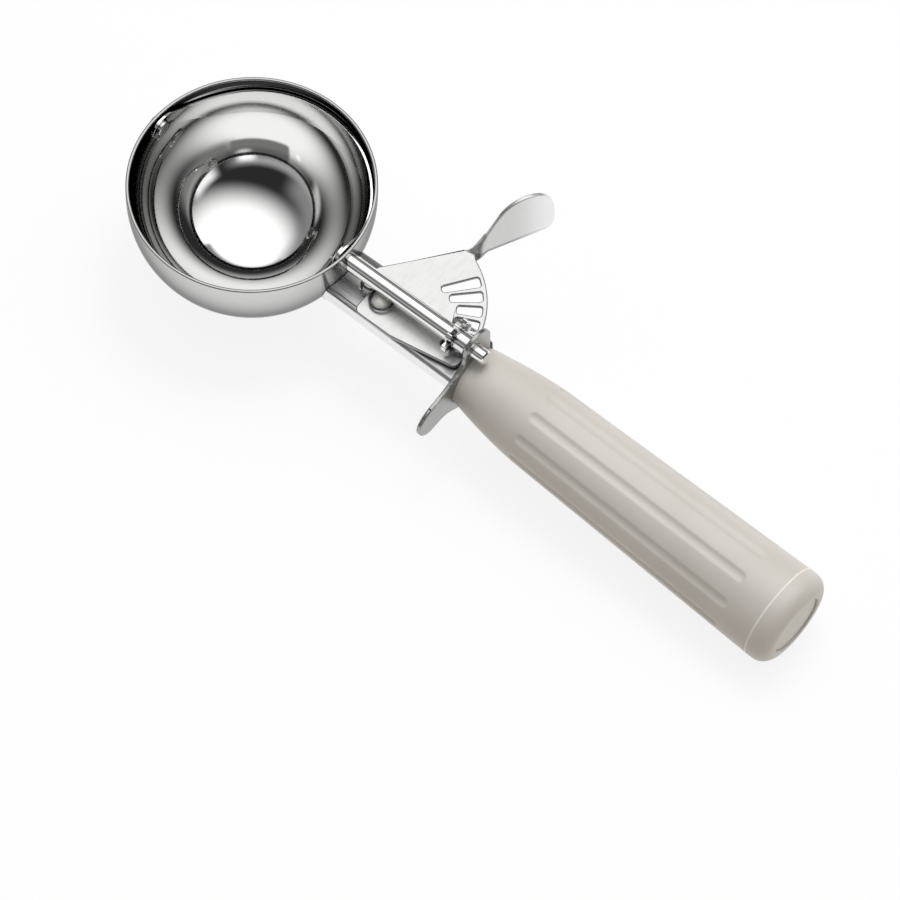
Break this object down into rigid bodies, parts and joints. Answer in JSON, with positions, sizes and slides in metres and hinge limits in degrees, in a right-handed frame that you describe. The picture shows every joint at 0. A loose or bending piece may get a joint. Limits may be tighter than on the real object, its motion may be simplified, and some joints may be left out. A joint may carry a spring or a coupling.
{
  "type": "lever ice cream scoop",
  "caption": "Thumb-lever ice cream scoop: steel bowl with a sweeping blade, slotted sector and pinion, spring return, tapered plastic handle.",
  "frame": {"origin": "centre of the bowl's mouth, in the plane of its rim", "axes": "+X from the bowl along the shaft to the end of the handle, +Z out of the bowl's mouth, thumb lever on the +Y side"},
  "size_m": [0.2246, 0.0812, 0.0512],
  "materials": {
    "polished_steel": "polished stainless",
    "pressed_steel": "plain pressed stainless",
    "satin_steel": "bright satin stainless",
    "fastener_steel": "turned stainless",
    "spring_steel": "drawn spring wire",
    "grip_plastic": "satin moulded",
    "disc_plastic": "satin moulded"
  },
  "bodies": {
    "frame": {"bowl": "polished_steel", "frame_channel": "polished_steel", "finger_guard": "pressed_steel", "tang": "pressed_steel", "handle_grip": "grip_plastic", "handle_end_cap": "grip_plastic", "end_disc": "disc_plastic", "tang_screw": "fastener_steel", "tang_washer": "fastener_steel", "lever_rivet": "fastener_steel", "rivet_washer": "fastener_steel", "blade_pivot_pin": "fastener_steel", "pivot_spacer": "fastener_steel", "lever_spring": "spring_steel"},
    "lever": {"sector_lever": "satin_steel"},
    "scraper": {"drive_shaft": "polished_steel", "shaft_collar": "polished_steel", "pinion": "polished_steel", "scraper_blade": "polished_steel", "blade_hub": "fastener_steel"}
  },
  "joints": [
    {"name": "lever_turn", "type": "hinge", "parent": "frame", "child": "lever", "pos_m": [0.047, -0.002, -0.0094], "axis": [0, 0, -1], "range_deg": [0, 40], "stiffness_Nm_per_rad": 0.12, "springref_deg": -20.05, "deforming": ["lever_spring"]},
    {"name": "scraper_turn", "type": "hinge", "parent": "frame", "child": "scraper", "pos_m": [0, 0, -0.004], "axis": [-1, 0, 0], "range_deg": [0, 180]}
  ],
  "couplings": [
    {"joint": "scraper_turn", "follows": "lever_turn", "ratio": 4.5}
  ]
}
